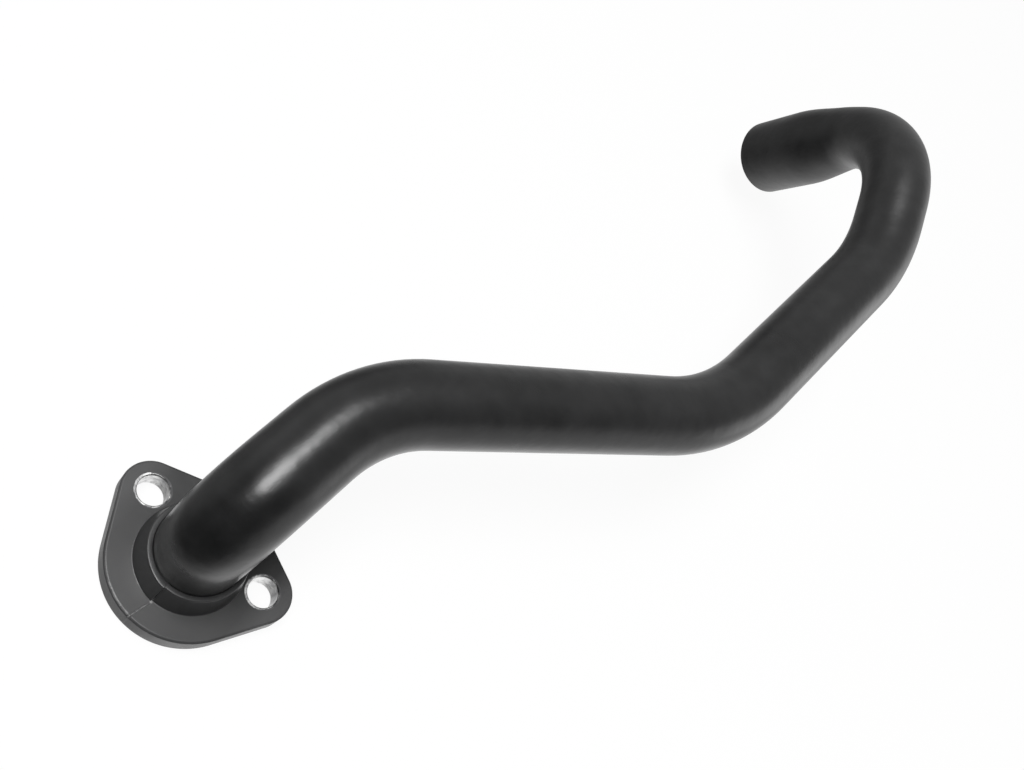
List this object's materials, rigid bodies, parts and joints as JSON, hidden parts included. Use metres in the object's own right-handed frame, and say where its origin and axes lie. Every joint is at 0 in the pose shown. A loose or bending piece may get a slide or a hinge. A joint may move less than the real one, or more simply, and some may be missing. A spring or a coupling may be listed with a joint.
{
  "type": "crankcase breather pipe",
  "caption": "Bent black breather tube with a widened hose end, held in a moulded bolt-on flange with a raised collar and steel bushes in its ears.",
  "frame": {"origin": "centre of the passage on the flange's mounting face", "axes": "+Z out of the flange along its collar, X along the line of the two bolts, +Y to the side to which the tube bends away"},
  "size_m": [0.1145, 0.2883, 0.081],
  "materials": {
    "flange_moulding": "charcoal glass-filled moulding, satin",
    "tube_skin": "black satin tube with soft highlights",
    "bush_steel": "plain turned steel"
  },
  "bodies": {
    "root": {"flange": "flange_moulding", "pipe": "tube_skin", "bolt_bush_left": "bush_steel", "bolt_bush_right": "bush_steel"}
  },
  "joints": []
}
